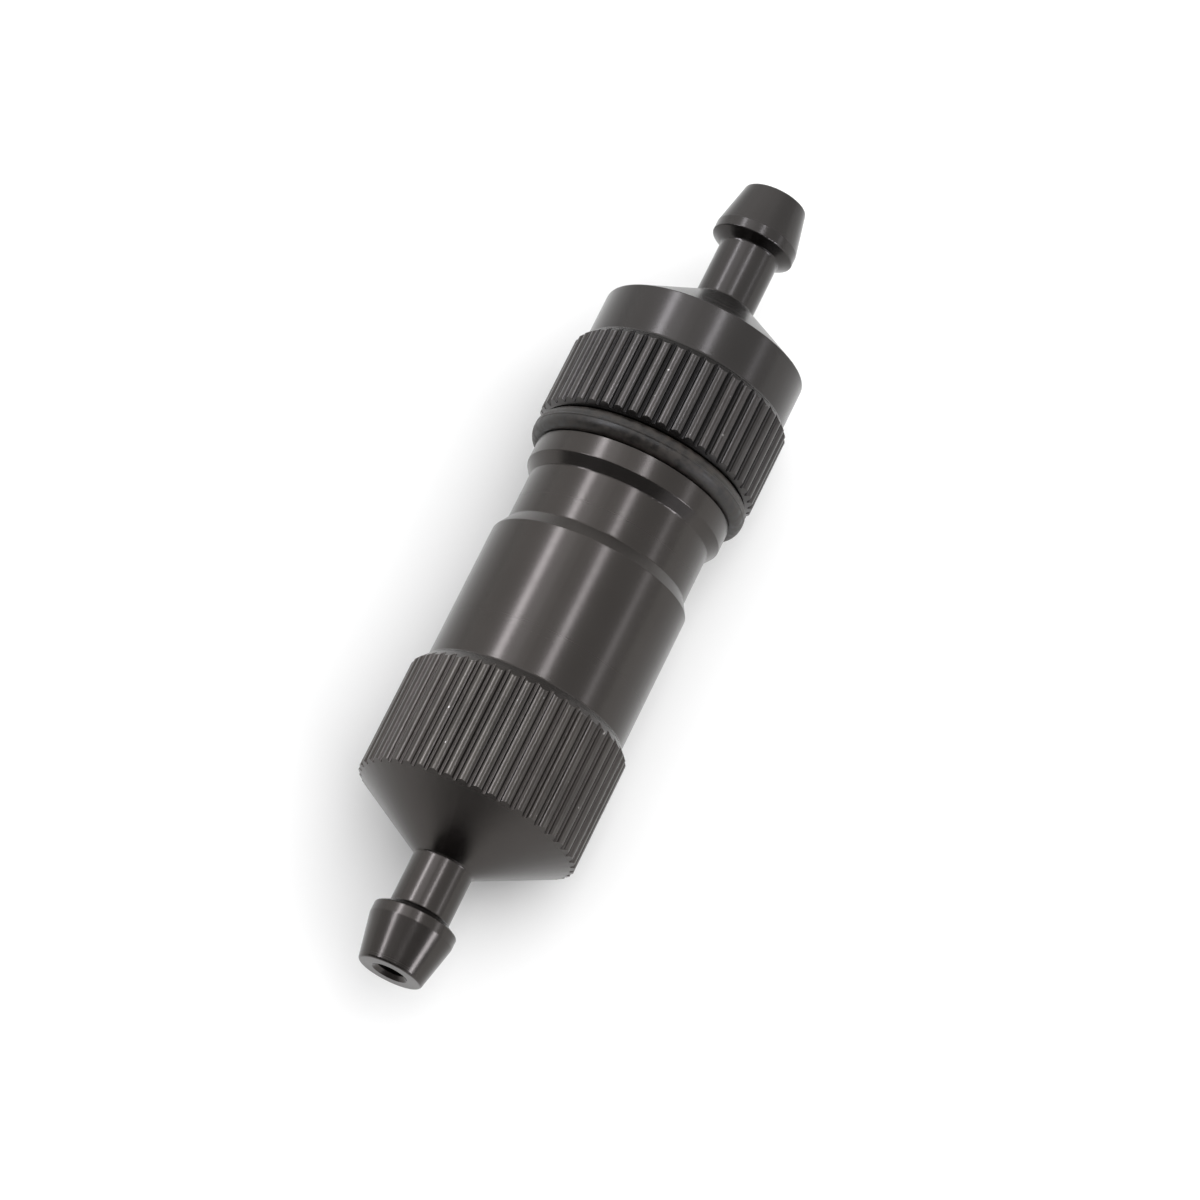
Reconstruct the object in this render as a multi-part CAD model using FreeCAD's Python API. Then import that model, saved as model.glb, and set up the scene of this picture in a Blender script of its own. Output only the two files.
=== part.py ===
"""In-line filter with two hose tails: a turned body, a screwed cap, and a spring-loaded screen cartridge.

Millimetres. The filter's axis is X, the inlet and the screwed cap are at +X, and Z is up. The origin is on
the axis, halfway between the two hose tails' ends. Every distance x is measured along the axis from there,
and every r is a radius about the axis.
"""
import FreeCAD, Part
import math
import os
from FreeCAD import Vector

X_AXIS = Vector(1, 0, 0)
ORIGIN = Vector(0, 0, 0)

# ---- Driving dimensions ------------------------------------------------------------------------------
HALF_LENGTH = 30.9          # each hose tail ends this far from the origin

# Hose tails, the same at both ends
TAIL_TIP_R = 2.3
TAIL_TAPER = 3.2            # from the end face to the crest
TAIL_CREST_R = 3.0
TAIL_CREST_LAND = 0.75
TAIL_BACK = 0.5             # chamfer from the crest down to the neck
TAIL_NECK_R = 2.15
FLOW_R = 1.0
COUNTERSINK_R = 1.3
COUNTERSINK_DEPTH = 0.3
CONE_HALF_ANGLE = 58.6      # cones behind both tails, measured from the axis

# Corner radii
EDGE_ROUND = 0.1            # edges broken on the lathe
TIP_ROUND = 0.18            # end face of a tail
NOSE_ROUND = 0.2            # left in inside corners by the tool's nose

# Clearances and tool runs
FIT_GAP = 0.02              # between pieces that touch when assembled
OVERSHOOT = 1.0             # how far a cutting shape runs past what it cuts

# Knurls
KNURL_R = 8.0               # crest of the knurl, the bar's own radius
KNURL_ROOT_R = 7.7
KNURL_RIDGES = 46
RIDGE_SHARE = 0.62          # part of the pitch that the rounded ridge takes, the rest is groove
RIDGE_EDGE_R = 7.88         # where the broad ridge ends and the round groove begins
BODY_KNURL_TURN = 3.2       # degrees that a ridge stands past +Y, on the body and on the cap
CAP_KNURL_TURN = 4.3

# Body, outside
BODY_CONE_X = -22.65        # the cone leaves the outlet tail's neck here
BODY_KNURL_END = -11.1
BODY_KNURL_CHAMFER = 0.88
BARREL_R = 7.25
BARREL_END = 0.08
SHOULDER_LENGTH = 1.0
WAIST_R = 6.65
WAIST_END = 4.86
FLANGE_START = 5.65
FLANGE_R = 7.2
FLANGE_FACE = 7.3

# Face seal between the body's flange and the cap
O_RING_OUTER_R = 7.9
O_RING_SEAT_R = 6.08
O_RING_SEAT_SHORT = 0.1     # the seat stops this far short of the cap's face
SEAL_CORNER_SHARE = 0.44    # corner radius of a squeezed O-ring, as a share of its thinner side

# Thread between the body and the cap, M12 x 1
THREAD_PITCH = 1.0
THREAD_MID_R = 5.715
MALE_CREST_R = 5.95
MALE_ROOT_R = 5.38
FEMALE_CREST_R = 5.48
FEMALE_ROOT_R = 6.05
RIDGE_HALF_WIDTH = 0.21     # of a thread's ridge at THREAD_MID_R
FLANK_SLOPE = math.tan(math.radians(30))
THREAD_ROOT_EMBED = 0.08    # how far a ridge is sunk into the wall that carries it
THREAD_START = 9.7          # middle of both ridges' blunt starts, half a turn apart so that they mesh
MALE_TURNS = 3.65
FEMALE_TURNS = 4.0
SPIGOT_END = 14.0
SPIGOT_CHAMFER = 0.2
MOUTH_CHAMFER = 0.15        # where the female thread starts in the cap's face

# Body, inside
BORE_R = 4.6
BORE_FLOOR = -18.0
FLOOR_RING_R = 3.2          # the flat seat ends here, and the drill's cone begins
DRILL_HALF_ANGLE = 59.0

# Cap
CAP_FACE = 9.06
CAP_FACE_R = 7.55
CAP_FACE_CHAMFER = 0.34
CAP_KNURL_END = 14.82
CAP_KNURL_CHAMFER = 0.6
BAND_R = 7.43
BAND_END = 18.92
FEMALE_END = 14.3
RELIEF_R = 6.15
RELIEF_END = 15.3
CHAMBER_R = 5.3
CHAMBER_END = 18.0
RING_GROOVE_R = 5.7
RING_GROOVE_START = 16.45
RING_GROOVE_END = 17.1

# Screen cartridge
END_R = 4.5                 # both ends slide in the bore with 0.1 mm clearance
OUTLET_FACE = -17.98
OUTLET_SHOULDER = -14.0
OUTLET_BORE_R = 1.9
END_CHAMFER = 0.3
GROOVE_R = 3.4
GROOVE_START = -16.9
GROOVE_END = -15.2
CARTRIDGE_RING_WIDTH = 1.4
CORE_OUTER_R = 3.1
CORE_INNER_R = 2.7
CORE_START = -13.98
CORE_END = 3.48
SPIGOT_R = 2.68
SPIGOT_LENGTH = 1.6
HOLE_R = 0.8
HOLE_ROWS = 6
HOLES_ROUND = 6
MESH_INNER_R = 3.13
MESH_OUTER_R = 3.33
MESH_INSET = 0.4
MESH_BAND_R = 3.65
MESH_BAND_LENGTH = 1.2
MESH_BAND_INSET = 0.7
PLUG_START = 3.5
PLUG_END = 5.0
PLUG_NOTCHES = 6
NOTCH_R = 0.9
PILOT_R = 2.6
PILOT_LENGTH = 1.2
PILOT_CHAMFER = 0.3

# Spring, its seat and the snap ring
WIRE_R = 0.3
SPRING_OUTER_R = 3.5
ACTIVE_TURNS = 6.0
END_TURNS = 1.0             # closed turns at each end
GROUND_SHARE = 0.5          # part of the wire that is ground off each end
STEPS_PER_TURN = 12         # points that guide the wire's path
SEAT_R = 5.2
SEAT_FACE = 17.15
SEAT_BACK = 17.95
SEAT_HOLE_R = 1.6
SEAT_CHAMFER = 0.15
RING_START = 16.5
RING_THICKNESS = 0.55
RING_OUTER_R = 5.65
RING_INNER_R = 4.75
RING_MOUTH = 34.0           # degrees left open between the lugs
LUG_INNER_R = 3.95
LUG_WIDTH = 20.0            # degrees taken by each lug
LUG_HOLE_R = 0.35
LUG_EMBED = 0.1             # how far a lug is sunk into the ring

# ---- Worked out from the driving dimensions ----------------------------------------------------------
CONE_SLOPE = math.tan(math.radians(CONE_HALF_ANGLE))
DRILL_SLOPE = math.tan(math.radians(DRILL_HALF_ANGLE))
SPRING_R = SPRING_OUTER_R - WIRE_R


# ---- Helpers -----------------------------------------------------------------------------------------
def rounded_corner(before, corner, after, radius):
    """Start, middle and end of the arc that rounds a corner between two straight runs."""
    to_before = (before - corner).normalize()
    to_after = (after - corner).normalize()
    half_angle = to_before.getAngle(to_after) / 2
    along = radius / math.tan(half_angle)
    inward = (to_before + to_after).normalize()
    middle = corner + inward * (radius / math.sin(half_angle) - radius)
    return corner + to_before * along, middle, corner + to_after * along


def turned(points):
    """Solid of revolution about X from a closed outline of (x, r) or (x, r, corner radius) points."""
    corners = [Vector(point[0], 0, point[1]) for point in points]
    edges = []
    ends = []
    for index, point in enumerate(points):
        corner = corners[index]
        if len(point) == 2:
            ends.append((corner, corner))
            continue
        after = corners[(index + 1) % len(corners)]
        start, middle, end = rounded_corner(corners[index - 1], corner, after, point[2])
        edges.append(Part.Arc(start, middle, end).toShape())
        ends.append((start, end))
    for index in range(len(ends)):
        edges.append(Part.makeLine(ends[index - 1][1], ends[index][0]))
    outline = Part.Wire(Part.__sortEdges__(edges))
    return Part.Face(outline).revolve(ORIGIN, X_AXIS, 360)


def rod(x_start, x_end, radius):
    """Solid cylinder on the axis."""
    return Part.makeCylinder(radius, x_end - x_start, Vector(x_start, 0, 0), X_AXIS)


def tube(x_start, x_end, inner_r, outer_r):
    """Plain tube on the axis."""
    return rod(x_start, x_end, outer_r).cut(rod(x_start - OVERSHOOT, x_end + OVERSHOOT, inner_r))


def around(radius, degrees, x=0.0):
    """Point at a radius and an angle about the axis, counted from +Y towards +Z."""
    angle = math.radians(degrees)
    return Vector(x, radius * math.cos(angle), radius * math.sin(angle))


def sealing_ring(x_start, x_end, inner_r, outer_r):
    """Squeezed O-ring: a section with round corners that touches its walls with flats."""
    corner = SEAL_CORNER_SHARE * min(x_end - x_start, outer_r - inner_r)
    ring = tube(x_start, x_end, inner_r, outer_r)
    return ring.makeFillet(corner, [edge for edge in ring.Edges if edge.Curve.TypeId == "Part::GeomCircle"])


def tail_outline():
    """(distance from the end face, r, corner radius) of a hose tail, from its end face to its neck."""
    crest = TAIL_TAPER
    return [
        (0.0, TAIL_TIP_R, TIP_ROUND),
        (crest, TAIL_CREST_R, EDGE_ROUND),
        (crest + TAIL_CREST_LAND, TAIL_CREST_R, EDGE_ROUND),
        (crest + TAIL_CREST_LAND + TAIL_BACK, TAIL_NECK_R, NOSE_ROUND),
    ]


def knurl_cutter(x_start, x_end, turn_degrees):
    """Everything outside a straight knurl, to be cut away from a turned blank."""
    pitch = 360.0 / KNURL_RIDGES
    half_ridge = pitch * RIDGE_SHARE / 2
    edges = []
    for ridge in range(KNURL_RIDGES):
        middle = turn_degrees + ridge * pitch
        start = around(RIDGE_EDGE_R, middle - half_ridge, x_start)
        end = around(RIDGE_EDGE_R, middle + half_ridge, x_start)
        top = around(KNURL_R, middle, x_start)
        bottom = around(KNURL_ROOT_R, middle + pitch / 2, x_start)
        next_start = around(RIDGE_EDGE_R, middle + pitch - half_ridge, x_start)
        edges.append(Part.Arc(start, top, end).toShape())
        edges.append(Part.Arc(end, bottom, next_start).toShape())
    knurl = Part.Face(Part.Wire(edges)).extrude(Vector(x_end - x_start, 0, 0))
    return rod(x_start, x_end, KNURL_R + OVERSHOOT).cut(knurl)


def thread_ridge(root_r, crest_r, turns, start_degrees):
    """Helical ridge of a right-hand thread from THREAD_START, with a blunt start at that angle from -Z."""
    outward = 1 if crest_r > root_r else -1
    foot_r = root_r - outward * THREAD_ROOT_EMBED

    def half_width(r):
        return RIDGE_HALF_WIDTH - outward * (r - THREAD_MID_R) * FLANK_SLOPE

    inner_r = min(foot_r, crest_r)
    outer_r = max(foot_r, crest_r)
    corners = [
        Vector(inner_r, 0, -half_width(inner_r)),
        Vector(outer_r, 0, -half_width(outer_r)),
        Vector(outer_r, 0, half_width(outer_r)),
        Vector(inner_r, 0, half_width(inner_r)),
    ]
    section = Part.makePolygon(corners + corners[:1])
    helix = Part.makeHelix(THREAD_PITCH, THREAD_PITCH * turns, THREAD_MID_R)
    ridge = Part.Wire(helix.Edges).makePipeShell([section], True, True)
    ridge.rotate(ORIGIN, Vector(0, 1, 0), 90)
    ridge.rotate(ORIGIN, X_AXIS, start_degrees)
    ridge.translate(Vector(THREAD_START, 0, 0))
    return ridge


# ---- Body and cap ------------------------------------------------------------------------------------
def filter_body():
    """Barrel, knurled end, cone, outlet tail and the threaded spigot, from one bar."""
    tail = [(-HALF_LENGTH + along, r, corner) for along, r, corner in tail_outline()]
    cone_end = BODY_CONE_X + (KNURL_R - TAIL_NECK_R) / CONE_SLOPE
    barrel_start = BODY_KNURL_END + BODY_KNURL_CHAMFER
    seat_end = CAP_FACE - O_RING_SEAT_SHORT
    drill_tip = BORE_FLOOR - (FLOOR_RING_R - FLOW_R) / DRILL_SLOPE
    outline = tail + [
        (BODY_CONE_X, TAIL_NECK_R, NOSE_ROUND),
        (cone_end, KNURL_R),
        (BODY_KNURL_END, KNURL_R),
        (barrel_start, BARREL_R, NOSE_ROUND),
        (BARREL_END, BARREL_R, EDGE_ROUND),
        (BARREL_END + SHOULDER_LENGTH, WAIST_R, NOSE_ROUND),
        (WAIST_END, WAIST_R, NOSE_ROUND),
        (FLANGE_START, FLANGE_R, EDGE_ROUND),
        (FLANGE_FACE, FLANGE_R, EDGE_ROUND),
        (FLANGE_FACE, O_RING_SEAT_R),
        (seat_end, O_RING_SEAT_R),
        (seat_end, MALE_ROOT_R),
        (SPIGOT_END - SPIGOT_CHAMFER, MALE_ROOT_R),
        (SPIGOT_END, MALE_ROOT_R - SPIGOT_CHAMFER),
        (SPIGOT_END, BORE_R),
        (BORE_FLOOR, BORE_R),
        (BORE_FLOOR, FLOOR_RING_R),
        (drill_tip, FLOW_R),
        (-HALF_LENGTH + COUNTERSINK_DEPTH, FLOW_R),
        (-HALF_LENGTH, COUNTERSINK_R),
    ]
    blank = turned(outline)
    knurled = blank.cut(knurl_cutter(cone_end - OVERSHOOT, barrel_start + OVERSHOOT, BODY_KNURL_TURN))
    return knurled.fuse(thread_ridge(MALE_ROOT_R, MALE_CREST_R, MALE_TURNS, 0))


def screw_cap():
    """Knurled cap with its smooth band, cone and inlet tail, and the female thread inside."""
    tail = [(HALF_LENGTH - along, r, corner) for along, r, corner in reversed(tail_outline())]
    cone_x = BAND_END + (BAND_R - TAIL_NECK_R) / CONE_SLOPE
    drill_tip = CHAMBER_END + (FLOOR_RING_R - FLOW_R) / DRILL_SLOPE
    band_start = CAP_KNURL_END + CAP_KNURL_CHAMFER
    outline = [
        (CAP_FACE, FEMALE_ROOT_R + MOUTH_CHAMFER),
        (CAP_FACE, CAP_FACE_R),
        (CAP_FACE + CAP_FACE_CHAMFER, KNURL_R),
        (CAP_KNURL_END, KNURL_R),
        (band_start, BAND_R, NOSE_ROUND),
        (BAND_END, BAND_R, EDGE_ROUND),
        (cone_x, TAIL_NECK_R, NOSE_ROUND),
    ] + tail + [
        (HALF_LENGTH, COUNTERSINK_R),
        (HALF_LENGTH - COUNTERSINK_DEPTH, FLOW_R),
        (drill_tip, FLOW_R),
        (CHAMBER_END, FLOOR_RING_R),
        (CHAMBER_END, CHAMBER_R),
        (RING_GROOVE_END, CHAMBER_R),
        (RING_GROOVE_END, RING_GROOVE_R),
        (RING_GROOVE_START, RING_GROOVE_R),
        (RING_GROOVE_START, CHAMBER_R),
        (RELIEF_END, CHAMBER_R),
        (RELIEF_END, RELIEF_R),
        (FEMALE_END, RELIEF_R),
        (FEMALE_END, FEMALE_ROOT_R),
        (CAP_FACE + MOUTH_CHAMFER, FEMALE_ROOT_R),
    ]
    blank = turned(outline)
    knurled = blank.cut(knurl_cutter(CAP_FACE - OVERSHOOT, band_start + OVERSHOOT, CAP_KNURL_TURN))
    return knurled.fuse(thread_ridge(FEMALE_ROOT_R, FEMALE_CREST_R, FEMALE_TURNS, 180))


def face_o_ring():
    """O-ring squeezed between the flange and the cap's face."""
    return sealing_ring(FLANGE_FACE + FIT_GAP, CAP_FACE - FIT_GAP, O_RING_SEAT_R + FIT_GAP, O_RING_OUTER_R)


# ---- Screen cartridge --------------------------------------------------------------------------------
def outlet_end_fitting():
    """Open end of the cartridge, with the groove for its O-ring and a spigot that carries the core."""
    outline = [
        (OUTLET_FACE, OUTLET_BORE_R),
        (OUTLET_FACE, END_R - END_CHAMFER),
        (OUTLET_FACE + END_CHAMFER, END_R),
        (GROOVE_START, END_R),
        (GROOVE_START, GROOVE_R),
        (GROOVE_END, GROOVE_R),
        (GROOVE_END, END_R),
        (OUTLET_SHOULDER, END_R),
        (OUTLET_SHOULDER, SPIGOT_R),
        (OUTLET_SHOULDER + SPIGOT_LENGTH, SPIGOT_R),
        (OUTLET_SHOULDER + SPIGOT_LENGTH, OUTLET_BORE_R),
    ]
    return turned(outline)


def cartridge_o_ring():
    """Seal between the cartridge's open end and the body's bore."""
    start = (GROOVE_START + GROOVE_END - CARTRIDGE_RING_WIDTH) / 2
    return sealing_ring(start, start + CARTRIDGE_RING_WIDTH, GROOVE_R + FIT_GAP, BORE_R - FIT_GAP)


def screen_core():
    """Perforated tube, with staggered rows of round holes."""
    core = tube(CORE_START, CORE_END, CORE_INNER_R, CORE_OUTER_R)
    first = OUTLET_SHOULDER + SPIGOT_LENGTH + 2 * HOLE_R
    last = PLUG_START - SPIGOT_LENGTH - 2 * HOLE_R
    holes = []
    for row in range(HOLE_ROWS):
        x = first + (last - first) * row / (HOLE_ROWS - 1)
        for hole in range(HOLES_ROUND):
            degrees = 360.0 / HOLES_ROUND * (hole + 0.5 * (row % 2))
            outward = around(1.0, degrees)
            holes.append(Part.makeCylinder(HOLE_R, CORE_OUTER_R + OVERSHOOT, Vector(x, 0, 0), outward))
    return core.cut(Part.makeCompound(holes))


def screen_mesh():
    """Woven wire sleeve, as one thin closed tube."""
    return tube(CORE_START + MESH_INSET, CORE_END - MESH_INSET, MESH_INNER_R, MESH_OUTER_R)


def mesh_band(x_start):
    """Crimped band round one end of the sleeve."""
    return tube(x_start, x_start + MESH_BAND_LENGTH, MESH_OUTER_R + FIT_GAP, MESH_BAND_R)


def inlet_end_plug():
    """Closed end of the cartridge: notched round its edge for the flow, with pilots for core and spring."""
    disc = rod(PLUG_START, PLUG_END, END_R)
    for notch in range(PLUG_NOTCHES):
        centre = around(END_R, 360.0 / PLUG_NOTCHES * notch, PLUG_START - OVERSHOOT)
        disc = disc.cut(Part.makeCylinder(NOTCH_R, PLUG_END - PLUG_START + 2 * OVERSHOOT, centre, X_AXIS))
    core_pilot = rod(PLUG_START - SPIGOT_LENGTH, PLUG_START, SPIGOT_R)
    spring_pilot = turned([
        (PLUG_END, 0),
        (PLUG_END, PILOT_R),
        (PLUG_END + PILOT_LENGTH - PILOT_CHAMFER, PILOT_R),
        (PLUG_END + PILOT_LENGTH, PILOT_R - PILOT_CHAMFER),
        (PLUG_END + PILOT_LENGTH, 0),
    ])
    return disc.fuse([core_pilot, spring_pilot])


# ---- Spring and its seat -----------------------------------------------------------------------------
def compression_spring():
    """Round-wire spring with one closed turn at each end, ground flat."""
    first = PLUG_END + FIT_GAP
    last = SEAT_FACE - FIT_GAP
    ground = 2 * WIRE_R * GROUND_SHARE
    start = first - ground + WIRE_R
    closed_pitch = 2 * WIRE_R + FIT_GAP
    end_rise = END_TURNS * closed_pitch
    active_rise = (last + ground - WIRE_R) - start - 2 * end_rise
    total_turns = ACTIVE_TURNS + 2 * END_TURNS
    points = []
    for step in range(int(total_turns * STEPS_PER_TURN) + 1):
        turn = step / STEPS_PER_TURN
        active = min(max(turn - END_TURNS, 0), ACTIVE_TURNS)
        closed = turn - active
        x = start + closed * closed_pitch + active * active_rise / ACTIVE_TURNS
        points.append(around(SPRING_R, 360 * turn, x))
    path = Part.BSplineCurve()
    path.interpolate(points)
    spine = path.toShape()
    tangent = path.tangent(path.FirstParameter)[0]
    section = Part.Wire(Part.Circle(points[0], tangent, WIRE_R).toShape())
    coil = Part.Wire(spine).makePipeShell([section], True, True)
    return coil.common(rod(first, last, SPRING_OUTER_R + OVERSHOOT))


def spring_seat():
    """Washer in the cap that takes the spring, with a pilot inside the last turn."""
    outline = [
        (SEAT_BACK, SEAT_HOLE_R),
        (SEAT_BACK, SEAT_R - SEAT_CHAMFER),
        (SEAT_BACK - SEAT_CHAMFER, SEAT_R),
        (SEAT_FACE, SEAT_R),
        (SEAT_FACE, PILOT_R),
        (SEAT_FACE - PILOT_LENGTH + PILOT_CHAMFER, PILOT_R),
        (SEAT_FACE - PILOT_LENGTH, PILOT_R - PILOT_CHAMFER),
        (SEAT_FACE - PILOT_LENGTH, SEAT_HOLE_R),
    ]
    return turned(outline)


def sector(inner_r, outer_r, degrees_start, degrees_end):
    """Flat piece of a ring between two angles, as thick as the snap ring."""
    degrees_middle = (degrees_start + degrees_end) / 2
    outer_start = around(outer_r, degrees_start, RING_START)
    outer_end = around(outer_r, degrees_end, RING_START)
    inner_start = around(inner_r, degrees_start, RING_START)
    inner_end = around(inner_r, degrees_end, RING_START)
    outer_arc = Part.Arc(outer_start, around(outer_r, degrees_middle, RING_START), outer_end).toShape()
    inner_arc = Part.Arc(inner_end, around(inner_r, degrees_middle, RING_START), inner_start).toShape()
    end_side = Part.makeLine(outer_end, inner_end)
    start_side = Part.makeLine(inner_start, outer_start)
    outline = Part.Wire([outer_arc, end_side, inner_arc, start_side])
    return Part.Face(outline).extrude(Vector(RING_THICKNESS, 0, 0))


def seat_retaining_ring():
    """Internal snap ring with two lugs, sprung into the groove in the cap."""
    half_mouth = RING_MOUTH / 2
    lug_r = (LUG_INNER_R + RING_INNER_R) / 2
    ring = sector(RING_INNER_R, RING_OUTER_R, half_mouth, 360 - half_mouth)
    for side in (1, -1):
        near = side * half_mouth
        far = side * (half_mouth + LUG_WIDTH)
        lug = sector(LUG_INNER_R, RING_INNER_R + LUG_EMBED, min(near, far), max(near, far))
        ring = ring.fuse(lug)
    for side in (1, -1):
        centre = around(lug_r, side * (half_mouth + LUG_WIDTH / 2), RING_START - OVERSHOOT)
        ring = ring.cut(Part.makeCylinder(LUG_HOLE_R, RING_THICKNESS + 2 * OVERSHOOT, centre, X_AXIS))
    return ring


# ---- Every node --------------------------------------------------------------------------------------
NODES = {
    "filter_body": filter_body(),
    "screw_cap": screw_cap(),
    "face_o_ring": face_o_ring(),
    "screen_core": screen_core(),
    "screen_mesh": screen_mesh(),
    "outlet_mesh_band": mesh_band(CORE_START + MESH_BAND_INSET),
    "inlet_mesh_band": mesh_band(CORE_END - MESH_BAND_INSET - MESH_BAND_LENGTH),
    "outlet_end_fitting": outlet_end_fitting(),
    "cartridge_o_ring": cartridge_o_ring(),
    "inlet_end_plug": inlet_end_plug(),
    "compression_spring": compression_spring(),
    "spring_seat": spring_seat(),
    "seat_retaining_ring": seat_retaining_ring(),
}

os.makedirs("parts", exist_ok=True)
for name, shape in NODES.items():
    solids = shape.Solids
    print(name, "valid", shape.isValid(), "solids", len(solids), "volume %.2f mm3" % shape.Volume)
    solid = solids[0] if len(solids) == 1 else shape
    solid.exportStep("parts/%s.step" % name)
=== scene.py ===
# %% [markdown]
# # An in-line filter in dark anodised aluminium
# A small filter that sits in a hose. A body is turned from one bar, with a knurled end, a cone and a hose
# tail. A cap with the same features screws onto it, and a rubber O-ring is squeezed between the two.
# Inside there is a screen cartridge with a spring behind it.
# The shapes come ready made in the frame. This script gives them their finishes, a floor, light and a camera.

# %% Load the frame
import math

import bpy
from mathutils import Matrix, Vector


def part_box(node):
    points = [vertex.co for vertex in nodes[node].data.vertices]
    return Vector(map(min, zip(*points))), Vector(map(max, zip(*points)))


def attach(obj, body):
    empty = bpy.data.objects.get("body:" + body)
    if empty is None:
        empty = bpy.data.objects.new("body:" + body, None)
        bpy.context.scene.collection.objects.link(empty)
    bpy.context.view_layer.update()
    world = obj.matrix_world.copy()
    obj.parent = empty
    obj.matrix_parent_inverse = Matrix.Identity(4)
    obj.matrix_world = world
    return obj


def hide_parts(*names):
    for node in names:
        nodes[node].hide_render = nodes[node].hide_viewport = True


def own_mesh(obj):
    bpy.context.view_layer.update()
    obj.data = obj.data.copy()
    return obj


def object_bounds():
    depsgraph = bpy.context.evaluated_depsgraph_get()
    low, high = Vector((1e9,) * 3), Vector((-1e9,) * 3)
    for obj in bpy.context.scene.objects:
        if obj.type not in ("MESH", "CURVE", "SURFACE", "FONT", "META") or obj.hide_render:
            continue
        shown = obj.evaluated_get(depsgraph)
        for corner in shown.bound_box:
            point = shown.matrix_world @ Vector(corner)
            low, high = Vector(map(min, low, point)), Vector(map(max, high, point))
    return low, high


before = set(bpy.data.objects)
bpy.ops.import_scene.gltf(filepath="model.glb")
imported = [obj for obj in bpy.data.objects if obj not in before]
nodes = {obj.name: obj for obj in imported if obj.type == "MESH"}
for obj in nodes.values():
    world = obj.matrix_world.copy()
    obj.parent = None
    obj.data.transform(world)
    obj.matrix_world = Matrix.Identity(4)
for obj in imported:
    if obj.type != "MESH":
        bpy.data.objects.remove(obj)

MM = 0.001
cad_low, cad_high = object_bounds()
print("frame size in mm:", [round(side / MM, 2) for side in (cad_high - cad_low)])

# %% [markdown]
# ## Camera
# The filter lies on its side and the camera looks down on it steeply, with a long lens, so that the two ends
# are nearly the same size. The camera is placed by three facts: how high it stands, which way it looks along
# the floor, and how far it is from a point on the filter's axis.

# %% Camera
ELEVATION = math.radians(69.18)      # of the line of sight, below the horizon
HEADING = math.radians(25.0)         # of that line on the floor, turned from +X towards +Y
DISTANCE = 377.8 * MM
SENSOR = 36.0                        # width of the sensor and focal length of the lens, both in millimetres
LENS = 167.25
NEAREST = 10 * MM                    # nothing closer than this is drawn
AIM = Vector((-0.76 * MM, 0, 0))     # the point on the axis that the distance is measured to
AIM_RIGHT = -0.00308                 # where that point lies in the view, as a slope off the centre line
AIM_DOWN = -0.00239

along_floor = Vector((math.cos(HEADING), math.sin(HEADING), 0))
sight = along_floor * math.cos(ELEVATION) + Vector((0, 0, -math.sin(ELEVATION)))
right = Vector((math.sin(HEADING), -math.cos(HEADING), 0))
up = right.cross(sight)
eye = AIM - DISTANCE * (sight + right * AIM_RIGHT - up * AIM_DOWN)

camera = bpy.data.objects.new("camera", bpy.data.cameras.new("camera"))
bpy.context.scene.collection.objects.link(camera)
camera.matrix_world = Matrix((right, up, -sight)).transposed().to_4x4()
camera.location = eye
camera.data.lens = LENS
camera.data.sensor_width = SENSOR
camera.data.clip_start = NEAREST
bpy.context.scene.camera = camera
print("camera at, in mm:", [round(value / MM, 1) for value in eye])

# %% [markdown]
# ## Floor, surround and light
# Dark polished metal shows little of its own. What the eye reads as its shape is the picture of the room in
# it, so the room comes before the finish. It has three parts. A white floor brightens the undersides. A
# surround is bright behind the inlet and falls to grey behind the outlet, which keeps every face that looks
# that way dark. Soft strips run along the filter, and a turned cylinder shows each as one bright line from
# end to end. One flat light could not do this, because it would make the metal an even grey.

# %% Colour helper
def linear(hex_colour):
    """An sRGB hex colour as the linear RGBA that Blender's sockets take."""
    channels = [int(hex_colour[i:i + 2], 16) / 255 for i in (1, 3, 5)]
    return [c / 12.92 if c <= 0.04045 else ((c + 0.055) / 1.055) ** 2.4 for c in channels] + [1.0]


# %% Node helper
def add_node(owner, kind, inputs=None, **settings):
    """Add a node to a material or the world and return its outputs.

    inputs holds a value, or the socket that feeds it, for each input. settings are the node's properties.
    """
    node = owner.node_tree.nodes.new(kind)
    for name, value in settings.items():
        setattr(node, name, value)
    for name, value in (inputs or {}).items():
        if isinstance(value, bpy.types.NodeSocket):
            owner.node_tree.links.new(value, node.inputs[name])
        else:
            node.inputs[name].default_value = value
    return node.outputs


# %% Surround
bpy.context.scene.view_settings.view_transform = "Standard"
BRIGHTEST = 1.5         # of the surround, over the inlet end
OUTLET_SHARE = 0.2      # how much of that is left where -X points
RIGHT_SHARE = 0.68      # and where -Y points
OUTLET_FADE = (-0.8, 0.5)      # X of the direction where the surround is darkest, and where it is full
RIGHT_FADE = (-0.7, 0.2)       # and the same for Y

world = bpy.data.worlds.new("graded surround")
bpy.context.scene.world = world
world.use_nodes = True
direction = add_node(world, "ShaderNodeTexCoord")["Generated"]
parts = add_node(world, "ShaderNodeSeparateXYZ", {"Vector": direction})
by_x = add_node(world, "ShaderNodeMapRange", {
    "Value": parts["X"], "From Min": OUTLET_FADE[0], "From Max": OUTLET_FADE[1],
    "To Min": OUTLET_SHARE * BRIGHTEST, "To Max": BRIGHTEST},
    interpolation_type="SMOOTHSTEP")["Result"]
by_y = add_node(world, "ShaderNodeMapRange", {
    "Value": parts["Y"], "From Min": RIGHT_FADE[0], "From Max": RIGHT_FADE[1],
    "To Min": RIGHT_SHARE, "To Max": 1.0},
    interpolation_type="SMOOTHSTEP")["Result"]
strength = add_node(world, "ShaderNodeMath", {0: by_x, 1: by_y}, operation="MULTIPLY")["Value"]
background = world.node_tree.nodes["Background"]
background.inputs["Color"].default_value = linear("#FFFFFF")
world.node_tree.links.new(strength, background.inputs["Strength"])
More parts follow.
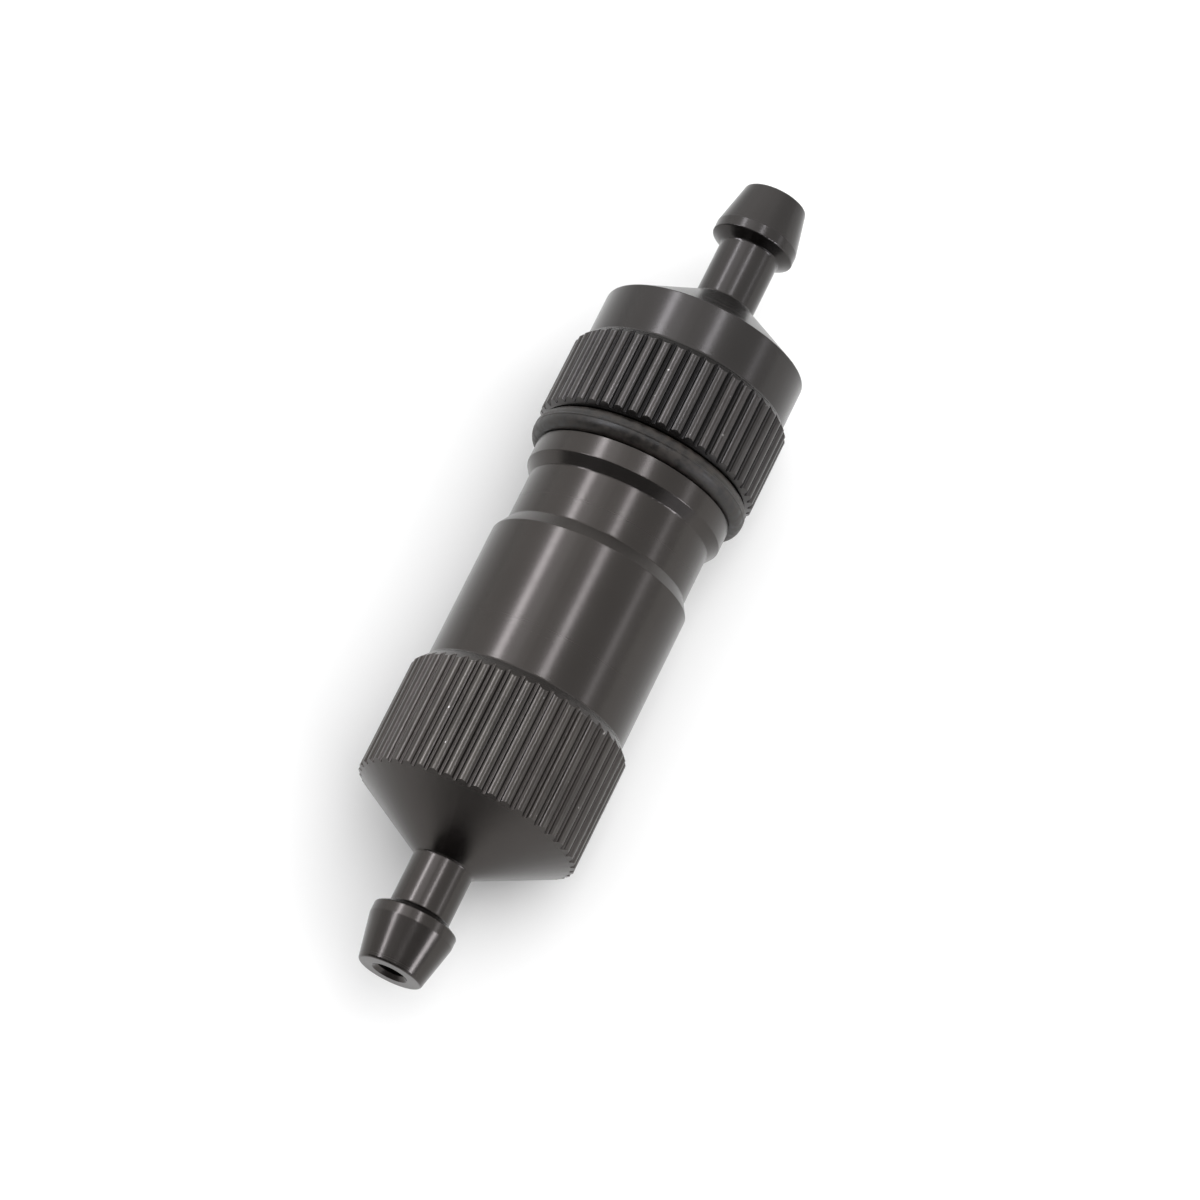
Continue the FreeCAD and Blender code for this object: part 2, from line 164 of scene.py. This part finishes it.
print("surround from", round(OUTLET_SHARE * BRIGHTEST, 2), "to", BRIGHTEST)


# %% Helper for the stage
def stage_plane(name, paint, colour, roughness, size, location, tilt=0.0):
    """A flat painted sheet that isn't part of the filter, turned by tilt about Y."""
    bpy.ops.object.select_all(action="DESELECT")
    bpy.ops.mesh.primitive_plane_add(size=size, location=location, rotation=(0, tilt, 0))
    sheet = bpy.context.object
    sheet.name = name
    material = bpy.data.materials.new(paint)
    material.use_nodes = True
    shader = material.node_tree.nodes["Principled BSDF"]
    shader.inputs["Base Color"].default_value = linear(colour)
    shader.inputs["Roughness"].default_value = roughness
    sheet.data.materials.append(material)
    print(name, "is", size, "m wide")
    return sheet


# %% Floor
FLOOR_SIZE = 3.0
floor = stage_plane("floor", "white paper", "#F4F4F4", 0.9, FLOOR_SIZE, (0, 0, cad_low.z))

# %% Dark card
# A grey card stands beyond the outlet end. Only reflections see it: it keeps the cone dark and casts no
# shadow.
CARD_GAP = 50 * MM
CARD_SIZE = 400 * MM
card = stage_plane("dark card", "matt grey card", "#6E6E6E", 1.0, CARD_SIZE,
                   (cad_low.x - CARD_GAP, 0, cad_low.z), tilt=math.radians(90))
card.visible_camera = False
card.visible_diffuse = False
card.visible_shadow = False

# %% Soft lights
LIGHT_DISTANCE = 0.7      # metres from the filter
DAYLIGHT = "#F3F6FF"


def soft_light(name, direction, length, width, radiance, colour="#FFFFFF"):
    """A soft light that faces the filter from this direction.

    length runs along the filter's axis, width across it. radiance is how bright its surface is.
    """
    data = bpy.data.lights.new(name, "AREA")
    data.shape = "RECTANGLE"
    data.size = length
    data.size_y = width
    data.color = linear(colour)[:3]
    data.energy = radiance * math.pi * length * width
    light = bpy.data.objects.new(name, data)
    bpy.context.scene.collection.objects.link(light)
    back = Vector(direction).normalized()
    across = back.cross(Vector((1, 0, 0))).normalized()
    light.matrix_world = Matrix((across.cross(back), across, back)).transposed().to_4x4()
    light.location = back * LIGHT_DISTANCE
    print(name, "stands towards", [round(value, 2) for value in back])
    return light


# %% Main light
# It lights the floor and the rubber from the right, so that the soft shadow falls to the left.
main_light = soft_light("main light", (0.06, -0.50, 0.86), length=0.85, width=0.85, radiance=2.0)
main_light.visible_glossy = False

# %% [markdown]
# The strips are there for the metal only. Left to light the floor as well, the brightest would throw a second
# shadow to the other side, so they are hidden from matt surfaces. Three run along the cylinder and a wide
# faint one gives the brightest its glow. The barb at the outlet leans the other way and needs three strips of
# its own: one on the left, one on the right and one low down on the right.

# %% Strips that draw the highlights
STRIP_ALONG = 0.2      # how far towards the inlet the strips stand, as a share of their distance


def seen_at(normal_angle):
    """Where a light stands if the cylinder shows it this many degrees round from the line of sight."""
    sight_angle = math.atan2(sight.y, -sight.z)
    light_angle = sight_angle + 2 * math.radians(normal_angle)
    return Vector((STRIP_ALONG, -math.sin(light_angle), math.cos(light_angle)))


# Each strip's direction, length, width and radiance
STRIPS = {
    "strip left": (seen_at(-25), 0.32, 0.075, 17.5),
    "glow left": (seen_at(-17.5), 0.32, 0.17, 1.2),
    "strip over": (seen_at(2), 0.34, 0.05, 15.5),
    "strip right": (seen_at(29.5), 0.32, 0.06, 3.6),
    "outlet strip left": ((-0.14, 0.70, 0.70), 0.18, 0.08, 20.0),
    "outlet strip right": ((-0.18, -0.93, 0.33), 0.18, 0.13, 17.0),
    "low strip right": ((-0.68, -0.71, 0.17), 0.26, 0.18, 11.0),
}
for name, (direction, length, width, radiance) in STRIPS.items():
    soft_light(name, direction, length, width, radiance, DAYLIGHT).visible_diffuse = False

# %% [markdown]
# ## Helpers for the finishes
# Every pattern is placed by object coordinates in millimetres, so that its scale can be read as a real size.
# A noise node's scale is one over the size of its blobs. Most pieces are turned about one axis, and what a
# lathe leaves depends only on two distances: how far a point is along the axis, and how far from it.

# %% Helpers for the finishes
MICRON = 0.001 * MM
COLOUR_A, COLOUR_B, COLOUR_MIX = 6, 7, 2      # a Mix node's sockets for colours have no names of their own


def millimetres(material):
    """Object coordinates in millimetres."""
    place = add_node(material, "ShaderNodeTexCoord")["Object"]
    return add_node(material, "ShaderNodeVectorMath", {0: place, 1: (1 / MM, 1 / MM, 1 / MM)},
                    operation="MULTIPLY")["Vector"]


def distance_from_axis(material, mm):
    """Radius about the filter's axis, in millimetres."""
    across = add_node(material, "ShaderNodeVectorMath", {0: mm, 1: (0, 1, 1)}, operation="MULTIPLY")["Vector"]
    return add_node(material, "ShaderNodeVectorMath", {0: across}, operation="LENGTH")["Value"]


def along_and_out(material, mm, radius):
    """A point's distance along the axis as X and from the axis as Y, which is all that a lathe knows."""
    along = add_node(material, "ShaderNodeSeparateXYZ", {0: mm})["X"]
    return add_node(material, "ShaderNodeCombineXYZ", {"X": along, "Y": radius})["Vector"]


def new_finish(name, metallic=0.0):
    """An empty finish and its shader."""
    material = bpy.data.materials.new(name)
    material.use_nodes = True
    shader = material.node_tree.nodes["Principled BSDF"]
    shader.inputs["Metallic"].default_value = metallic
    return material, shader


def dress(material, shader, **sockets):
    """Feed the shader's inputs, named with underscores for spaces, from the given sockets."""
    for name, socket in sockets.items():
        material.node_tree.links.new(socket, shader.inputs[name.replace("_", " ")])
    print(material.name, "has", len(material.node_tree.nodes), "nodes")
    return material


# %% [markdown]
# ## Dark anodised aluminium
# The body and the cap are turned from bar, knurled, then anodised and dyed. The dye darkens the metal, so it
# reflects only a twentieth of the light that meets it square on, but nearly all of it at a glancing angle.
# That is why the sides of the cylinder are paler than its middle. The tool leaves fine rings round the axis,
# which draw highlights out along the filter. The knurl is pressed in afterwards, so it has no rings. Its
# crests are painted paler in patches, for wear from hands and as painted highlight, and nicked here and
# there.
# Its grooves are painted darker, for dirt and as painted shade. A metal shader with a dark colour gives the
# pale sides: a dark plastic would stay grey there.

# %% Dark anodised aluminium
LATHE_RINGS_MM = 0.12      # real rings are about 0.05 mm apart, too fine to show
RING_HEIGHT = MICRON
CLOUD_MM = 3.0             # patches where the film took more or less dye
NICK_MM = 0.3
NICK_RARITY = (0.83, 0.87)      # only the highest peaks of the noise are nicks
WEAR_AND_HIGHLIGHT_PATCHES = (0.4, 0.6)       # where in the clouds the crests are painted least and most pale, and how much
WEAR_AND_HIGHLIGHT_AMOUNT = (0.2, 0.9)
KNURL_FOOT_MM = 7.6        # nothing turned is as far from the axis as the knurl's roots
KNURL_ROOT_MM = 7.7
GROOVE_TOP_MM = 7.84       # dirt and painted shade reach this high in a groove
CREST_LOW_MM = 7.92        # the part of a crest painted paler, for wear and as painted highlight
CREST_MM = 8.0
END_FACING = (0.02, 0.1)   # square of the normal along the axis: a groove has none, a cone or chamfer has
BARE_METAL = "#8C8987"


def knurl_masks(material, radius):
    """How much a point belongs to a turned surface, to a crest, and to a groove of the knurl."""
    turned = add_node(material, "ShaderNodeMapRange", {
        "Value": radius, "From Min": KNURL_FOOT_MM, "From Max": KNURL_ROOT_MM,
        "To Min": 1.0, "To Max": 0.0})["Result"]
    crest = add_node(material, "ShaderNodeMapRange", {
        "Value": radius, "From Min": CREST_LOW_MM, "From Max": CREST_MM,
        "To Min": 0.0, "To Max": 1.0})["Result"]
    normal = add_node(material, "ShaderNodeTexCoord")["Normal"]
    facing = add_node(material, "ShaderNodeSeparateXYZ", {0: normal})["X"]
    squared = add_node(material, "ShaderNodeMath", {0: facing, 1: facing}, operation="MULTIPLY")["Value"]
    sideways = add_node(material, "ShaderNodeMapRange", {
        "Value": squared, "From Min": END_FACING[0], "From Max": END_FACING[1],
        "To Min": 1.0, "To Max": 0.0})["Result"]
    above_foot = add_node(material, "ShaderNodeMapRange", {
        "Value": radius, "From Min": KNURL_FOOT_MM, "From Max": KNURL_ROOT_MM,
        "To Min": 0.0, "To Max": 1.0})["Result"]
    low_down = add_node(material, "ShaderNodeMapRange", {
        "Value": radius, "From Min": KNURL_ROOT_MM, "From Max": GROOVE_TOP_MM,
        "To Min": 1.0, "To Max": 0.0})["Result"]
    knurled = add_node(material, "ShaderNodeMath", {
        0: sideways, 1: above_foot}, operation="MULTIPLY")["Value"]
    # The groove mask is where the dirt and the painted shade go.
    groove = add_node(material, "ShaderNodeMath", {0: knurled, 1: low_down}, operation="MULTIPLY")["Value"]
    return turned, crest, groove


def dark_anodised_aluminium(name, film, pale, crest_wear_and_highlight, groove_dirt_and_shade):
    """Turned and dyed aluminium: the dye's colour and its thinner patches, crests painted paler for wear and
    as painted highlight, and grooves painted darker for dirt and as painted shade.
    """
    material, shader = new_finish(name, metallic=1.0)
    mm = millimetres(material)
    radius = distance_from_axis(material, mm)
    section = along_and_out(material, mm, radius)
    turned, crest, groove = knurl_masks(material, radius)

    cloud = add_node(material, "ShaderNodeTexNoise", {
        "Vector": mm, "Scale": 1 / CLOUD_MM, "Detail": 3.0})["Fac"]
    # Crests are painted paler in patches, for wear and as painted highlight.
    rubbing_and_highlight = add_node(material, "ShaderNodeMapRange", {
        "Value": cloud, "From Min": WEAR_AND_HIGHLIGHT_PATCHES[0], "From Max": WEAR_AND_HIGHLIGHT_PATCHES[1],
        "To Min": WEAR_AND_HIGHLIGHT_AMOUNT[0], "To Max": WEAR_AND_HIGHLIGHT_AMOUNT[1]})["Result"]
    wear_and_highlight = add_node(material, "ShaderNodeMath", {0: crest, 1: rubbing_and_highlight}, operation="MULTIPLY")["Value"]
    specks = add_node(material, "ShaderNodeTexNoise", {
        "Vector": mm, "Scale": 1 / NICK_MM, "Detail": 0.0})["Fac"]
    peaks = add_node(material, "ShaderNodeMapRange", {
        "Value": specks, "From Min": NICK_RARITY[0], "From Max": NICK_RARITY[1],
        "To Min": 0.0, "To Max": 1.0})["Result"]
    nick = add_node(material, "ShaderNodeMath", {0: crest, 1: peaks}, operation="MULTIPLY")["Value"]
    tone = add_node(material, "ShaderNodeMix", {
        "Factor": cloud, COLOUR_A: linear(film), COLOUR_B: linear(pale)}, data_type="RGBA")[COLOUR_MIX]
    # Grooves are painted darker, for dirt and as painted shade; crests paler, for wear and as painted
    # highlight.
    for amount, colour in ((groove, groove_dirt_and_shade), (wear_and_highlight, crest_wear_and_highlight), (nick, BARE_METAL)):
        tone = add_node(material, "ShaderNodeMix", {
            "Factor": amount, COLOUR_A: tone, COLOUR_B: linear(colour)}, data_type="RGBA")[COLOUR_MIX]

    lathe = add_node(material, "ShaderNodeTexNoise", {
        "Vector": section, "Scale": 1 / LATHE_RINGS_MM, "Detail": 2.0})["Fac"]
    rings = add_node(material, "ShaderNodeMath", {0: lathe, 1: turned}, operation="MULTIPLY")["Value"]
    roughness = add_node(material, "ShaderNodeMapRange", {
        "Value": rings, "From Min": 0.0, "From Max": 0.7, "To Min": 0.29, "To Max": 0.25})["Result"]
    bump = add_node(material, "ShaderNodeBump", {"Height": rings, "Distance": RING_HEIGHT, "Strength": 0.06})
    grain = add_node(material, "ShaderNodeTangent", direction_type="RADIAL", axis="X")
    shader.inputs["Anisotropic"].default_value = 0.5
    shader.inputs["Anisotropic Rotation"].default_value = 0.25
    return dress(material, shader, Base_Color=tone, Roughness=roughness, Normal=bump["Normal"],
                 Tangent=grain["Tangent"])


# The last two colours paint the crests paler, for wear and as painted highlight, and the grooves darker, for
# dirt and as painted shade.
body_finish = dark_anodised_aluminium(
    "dark anodised aluminium, body", film="#3E3B39", pale="#43403E", crest_wear_and_highlight="#4B4845", groove_dirt_and_shade="#383533")
cap_finish = dark_anodised_aluminium(
    "dark anodised aluminium, cap", film="#3C3A39", pale="#413F3E", crest_wear_and_highlight="#4A4746", groove_dirt_and_shade="#1B1A1A")

# %% [markdown]
# ## Black rubber
# The O-rings are moulded nitrile rubber. The mould was in two halves, so a fine raised line runs round the
# outside, where they met. The skin is matt with a dull sheen, slightly mottled, and it holds a little dust.

# %% Black rubber
MOTTLE_MM = 0.5
SKIN_MM = 0.08                 # grain of the mould's wall
SKIN_HEIGHT = 2 * MICRON
LINE_HALF_WIDTH_MM = 0.10      # of the mould line, from its middle to where it ends
LINE_HEIGHT = 60 * MICRON


def middle_x_mm(name):
    """Middle of a node along the axis, in millimetres."""
    low_corner, high_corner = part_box(name)
    return (low_corner[0] + high_corner[0]) / 2 / MM


def moulded_rubber(name, ring):
    """Black rubber for this O-ring, with the mould line round its middle."""
    material, shader = new_finish(name)
    mm = millimetres(material)
    along = add_node(material, "ShaderNodeSeparateXYZ", {0: mm})["X"]
    offset = add_node(material, "ShaderNodeMath", {0: along, 1: middle_x_mm(ring)},
                      operation="SUBTRACT")["Value"]
    off_line = add_node(material, "ShaderNodeMath", {0: offset}, operation="ABSOLUTE")["Value"]
    line = add_node(material, "ShaderNodeMapRange", {
        "Value": off_line, "From Min": 0.0, "From Max": LINE_HALF_WIDTH_MM,
        "To Min": 1.0, "To Max": 0.0})["Result"]
    mottle = add_node(material, "ShaderNodeTexNoise", {
        "Vector": mm, "Scale": 1 / MOTTLE_MM, "Detail": 4.0})["Fac"]
    skin = add_node(material, "ShaderNodeTexNoise", {
        "Vector": mm, "Scale": 1 / SKIN_MM, "Detail": 2.0})["Fac"]
    dust = add_node(material, "ShaderNodeMapRange", {
        "Value": mottle, "From Min": 0.38, "From Max": 0.62, "To Min": 0.0, "To Max": 1.0})["Result"]
    tone = add_node(material, "ShaderNodeMix", {
        "Factor": dust, COLOUR_A: linear("#14110F"), COLOUR_B: linear("#2A2521")},
        data_type="RGBA")[COLOUR_MIX]
    roughness = add_node(material, "ShaderNodeMapRange", {
        "Value": mottle, "From Min": 0.35, "From Max": 0.65, "To Min": 0.36, "To Max": 0.56})["Result"]
    grain = add_node(material, "ShaderNodeBump", {"Height": skin, "Distance": SKIN_HEIGHT, "Strength": 0.4})
    ridge = add_node(material, "ShaderNodeBump", {
        "Height": line, "Distance": LINE_HEIGHT, "Strength": 0.8, "Normal": grain["Normal"]})
    shader.inputs["Specular IOR Level"].default_value = 0.36
    return dress(material, shader, Base_Color=tone, Roughness=roughness, Normal=ridge["Normal"])


face_ring_rubber = moulded_rubber("black nitrile rubber, face ring", "face_o_ring")
cartridge_ring_rubber = moulded_rubber("black nitrile rubber, cartridge ring", "cartridge_o_ring")

# %% [markdown]
# ## Bright steels
# The perforated core and the two bands are drawn stainless tube, and the spring is drawn wire: the die leaves
# fine lines along the work. The snap ring is stamped from spring steel and phosphated, which makes it a dull
# dark grey, finely speckled.

# %% Drawn steel
# Size of a mark along X, Y and Z
ALONG_TUBE_MM = (4.0, 0.06, 0.06)      # long along the axis and fine across it
ROUND_COIL_MM = (0.08, 0.5, 0.5)       # long round the axis, as the wire runs
SPECKLE_MM = (0.2, 0.2, 0.2)
MARK_HEIGHT = 2 * MICRON


def steel(name, bright, dull, marks_mm, smoothest, roughest):
    """Steel in two tones, with the marks that its making left."""
    material, shader = new_finish(name, metallic=1.0)
    mm = millimetres(material)
    squeezed = add_node(material, "ShaderNodeVectorMath", {
        0: mm, 1: tuple(1 / size for size in marks_mm)}, operation="MULTIPLY")["Vector"]
    marks = add_node(material, "ShaderNodeTexNoise", {"Vector": squeezed, "Scale": 1.0, "Detail": 2.0})["Fac"]
    patches = add_node(material, "ShaderNodeTexNoise", {
        "Vector": mm, "Scale": 1 / CLOUD_MM, "Detail": 2.0})["Fac"]
    tone = add_node(material, "ShaderNodeMix", {
        "Factor": patches, COLOUR_A: linear(bright), COLOUR_B: linear(dull)}, data_type="RGBA")[COLOUR_MIX]
    roughness = add_node(material, "ShaderNodeMapRange", {
        "Value": marks, "From Min": 0.3, "From Max": 0.7,
        "To Min": smoothest, "To Max": roughest})["Result"]
    bump = add_node(material, "ShaderNodeBump", {"Height": marks, "Distance": MARK_HEIGHT, "Strength": 0.5})
    return dress(material, shader, Base_Color=tone, Roughness=roughness, Normal=bump["Normal"])


stainless_tube = steel("drawn stainless tube", "#C2BFBA", "#B0ADA8", ALONG_TUBE_MM, 0.22, 0.36)
spring_wire = steel("drawn spring wire", "#B4B1AC", "#9C9995", ROUND_COIL_MM, 0.24, 0.38)
phosphated_steel = steel("phosphated spring steel", "#56565A", "#47474A", SPECKLE_MM, 0.42, 0.60)

# %% [markdown]
# ## Woven wire
# The screen is woven from stainless wire, taken here as a tenth of a millimetre thick, each wire passing over
# and under the next. It could be modelled wire by wire, but the body hides it, so the frame has it as one
# thin sleeve and the weave is drawn on that. A wire's height is a cosine across its width, and a second
# cosine along it makes it rise and dip. Where the two directions cross, the higher one shows.

# %% Woven wire
WEAVE_PITCH_MM = 0.4       # real cloth this fine has wires 0.25 mm apart, too fine to show
WIRE_HEIGHT = 100 * MICRON
DIP = 0.35                 # height of a wire where it passes under, as a share of where it passes over
SLEEVE_R_MM = 3.33
WIRES_ROUND = 2 * round(math.pi * SLEEVE_R_MM / WEAVE_PITCH_MM)      # an even number, so the weave closes
print("wires round the sleeve:", WIRES_ROUND)


def wire_height(material, across, beside):
    """Height of the wires that lie side by side over one angle and dip by the other."""
    over = add_node(material, "ShaderNodeMath", {0: across}, operation="COSINE")["Value"]
    under = add_node(material, "ShaderNodeMath", {0: beside}, operation="COSINE")["Value"]
    hump = add_node(material, "ShaderNodeMath", {0: over}, operation="ABSOLUTE")["Value"]
    phase = add_node(material, "ShaderNodeMath", {0: over, 1: under}, operation="MULTIPLY")["Value"]
    rise = add_node(material, "ShaderNodeMapRange", {
        "Value": phase, "From Min": -1.0, "From Max": 1.0, "To Min": DIP, "To Max": 1.0})["Result"]
    return add_node(material, "ShaderNodeMath", {0: hump, 1: rise}, operation="MULTIPLY")["Value"]


def woven_wire(name):
    """Plain weave of round wires on a sleeve round the axis, with painted shade between and under them."""
    material, shader = new_finish(name, metallic=1.0)
    place = add_node(material, "ShaderNodeSeparateXYZ", {0: millimetres(material)})
    turn = add_node(material, "ShaderNodeMath", {0: place["Z"], 1: place["Y"]}, operation="ARCTAN2")["Value"]
    around = add_node(material, "ShaderNodeMath", {
        0: turn, 1: WIRES_ROUND / 2}, operation="MULTIPLY")["Value"]
    along = add_node(material, "ShaderNodeMath", {
        0: place["X"], 1: math.pi / WEAVE_PITCH_MM}, operation="MULTIPLY")["Value"]
    one_wire_on = add_node(material, "ShaderNodeMath", {0: along, 1: math.pi}, operation="ADD")["Value"]
    cloth = add_node(material, "ShaderNodeMath", {
        0: wire_height(material, around, along),
        1: wire_height(material, one_wire_on, around)}, operation="MAXIMUM")["Value"]
    shown = add_node(material, "ShaderNodeMapRange", {
        "Value": cloth, "From Min": 0.3, "From Max": 0.8, "To Min": 0.0, "To Max": 1.0})["Result"]
    # Near black where no wire is up: painted shade in the openings between and under the wires.
    tone = add_node(material, "ShaderNodeMix", {
        "Factor": shown, COLOUR_A: linear("#1C1B1A"), COLOUR_B: linear("#B8B5B0")},
        data_type="RGBA")[COLOUR_MIX]
    roughness = add_node(material, "ShaderNodeMapRange", {
        "Value": cloth, "From Min": 0.3, "From Max": 0.9, "To Min": 0.55, "To Max": 0.28})["Result"]
    bump = add_node(material, "ShaderNodeBump", {"Height": cloth, "Distance": WIRE_HEIGHT, "Strength": 0.8})
    return dress(material, shader, Base_Color=tone, Roughness=roughness, Normal=bump["Normal"])


wire_cloth = woven_wire("woven stainless wire cloth")

# %% [markdown]
# ## White acetal
# The cartridge's two ends and the spring's seat are turned from white acetal rod, a dense and slippery
# plastic. Light enters it a little way, so its edges glow softly. The tool leaves faint rings on it too.

# %% White acetal
ACETAL_RINGS_MM = 0.15
ACETAL_RING_HEIGHT = 3 * MICRON
LIGHT_REACH = 0.6 * MM      # how far light travels inside it


def turned_acetal(name, colour, shaded):
    """White plastic from the lathe, in two close tones."""
    material, shader = new_finish(name)
    mm = millimetres(material)
    section = along_and_out(material, mm, distance_from_axis(material, mm))
    rings = add_node(material, "ShaderNodeTexNoise", {
        "Vector": section, "Scale": 1 / ACETAL_RINGS_MM, "Detail": 2.0})["Fac"]
    patches = add_node(material, "ShaderNodeTexNoise", {
        "Vector": mm, "Scale": 1 / CLOUD_MM, "Detail": 2.0})["Fac"]
    tone = add_node(material, "ShaderNodeMix", {
        "Factor": patches, COLOUR_A: linear(colour), COLOUR_B: linear(shaded)}, data_type="RGBA")[COLOUR_MIX]
    roughness = add_node(material, "ShaderNodeMapRange", {
        "Value": rings, "From Min": 0.3, "From Max": 0.7, "To Min": 0.34, "To Max": 0.46})["Result"]
    bump = add_node(material, "ShaderNodeBump", {
        "Height": rings, "Distance": ACETAL_RING_HEIGHT, "Strength": 0.4})
    shader.inputs["Subsurface Weight"].default_value = 0.15
    shader.inputs["Subsurface Scale"].default_value = LIGHT_REACH
    return dress(material, shader, Base_Color=tone, Roughness=roughness, Normal=bump["Normal"])


acetal = turned_acetal("white turned acetal", "#ECE9E1", "#E2DED4")

# %% [markdown]
# ## The spring
# The spring holds the cartridge down, and gets shorter when the cartridge lifts. A stiff coil would cut into
# the cartridge there. A copy of the frame's coil stands in for it and is attached to its seat. The coil comes
# as loose triangles, so the copy is merged first, or its shading would show every triangle.

# %% Copy of the spring on its seat
MERGE_DISTANCE = MICRON
SMOOTH_UP_TO = math.radians(40)

spring = bpy.data.objects.new("shortening_spring", nodes["compression_spring"].data.copy())
bpy.context.scene.collection.objects.link(spring)
bpy.ops.object.select_all(action="DESELECT")
spring.select_set(True)
bpy.context.view_layer.objects.active = spring
bpy.ops.object.mode_set(mode="EDIT")
bpy.ops.mesh.select_all(action="SELECT")
bpy.ops.mesh.remove_doubles(threshold=MERGE_DISTANCE)
bpy.ops.object.mode_set(mode="OBJECT")
bpy.ops.object.shade_smooth_by_angle(angle=SMOOTH_UP_TO)
spring.data.materials.clear()
spring.data.materials.append(spring_wire)
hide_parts("compression_spring")
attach(spring, "spring_seat")
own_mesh(spring)

# %% Put the finishes on
FINISHES = {
    "filter_body": body_finish,
    "screw_cap": cap_finish,
    "face_o_ring": face_ring_rubber,
    "cartridge_o_ring": cartridge_ring_rubber,
    "screen_core": stainless_tube,
    "outlet_mesh_band": stainless_tube,
    "inlet_mesh_band": stainless_tube,
    "screen_mesh": wire_cloth,
    "outlet_end_fitting": acetal,
    "inlet_end_plug": acetal,
    "spring_seat": acetal,
    "compression_spring": spring_wire,
    "seat_retaining_ring": phosphated_steel,
}
for name, finish in FINISHES.items():
    if not nodes[name].material_slots:
        nodes[name].data.materials.append(finish)
    for slot in nodes[name].material_slots:
        slot.material = finish
    print(name, "is now", finish.name)
print("nodes without a finish:", sorted(set(nodes) - set(FINISHES)))
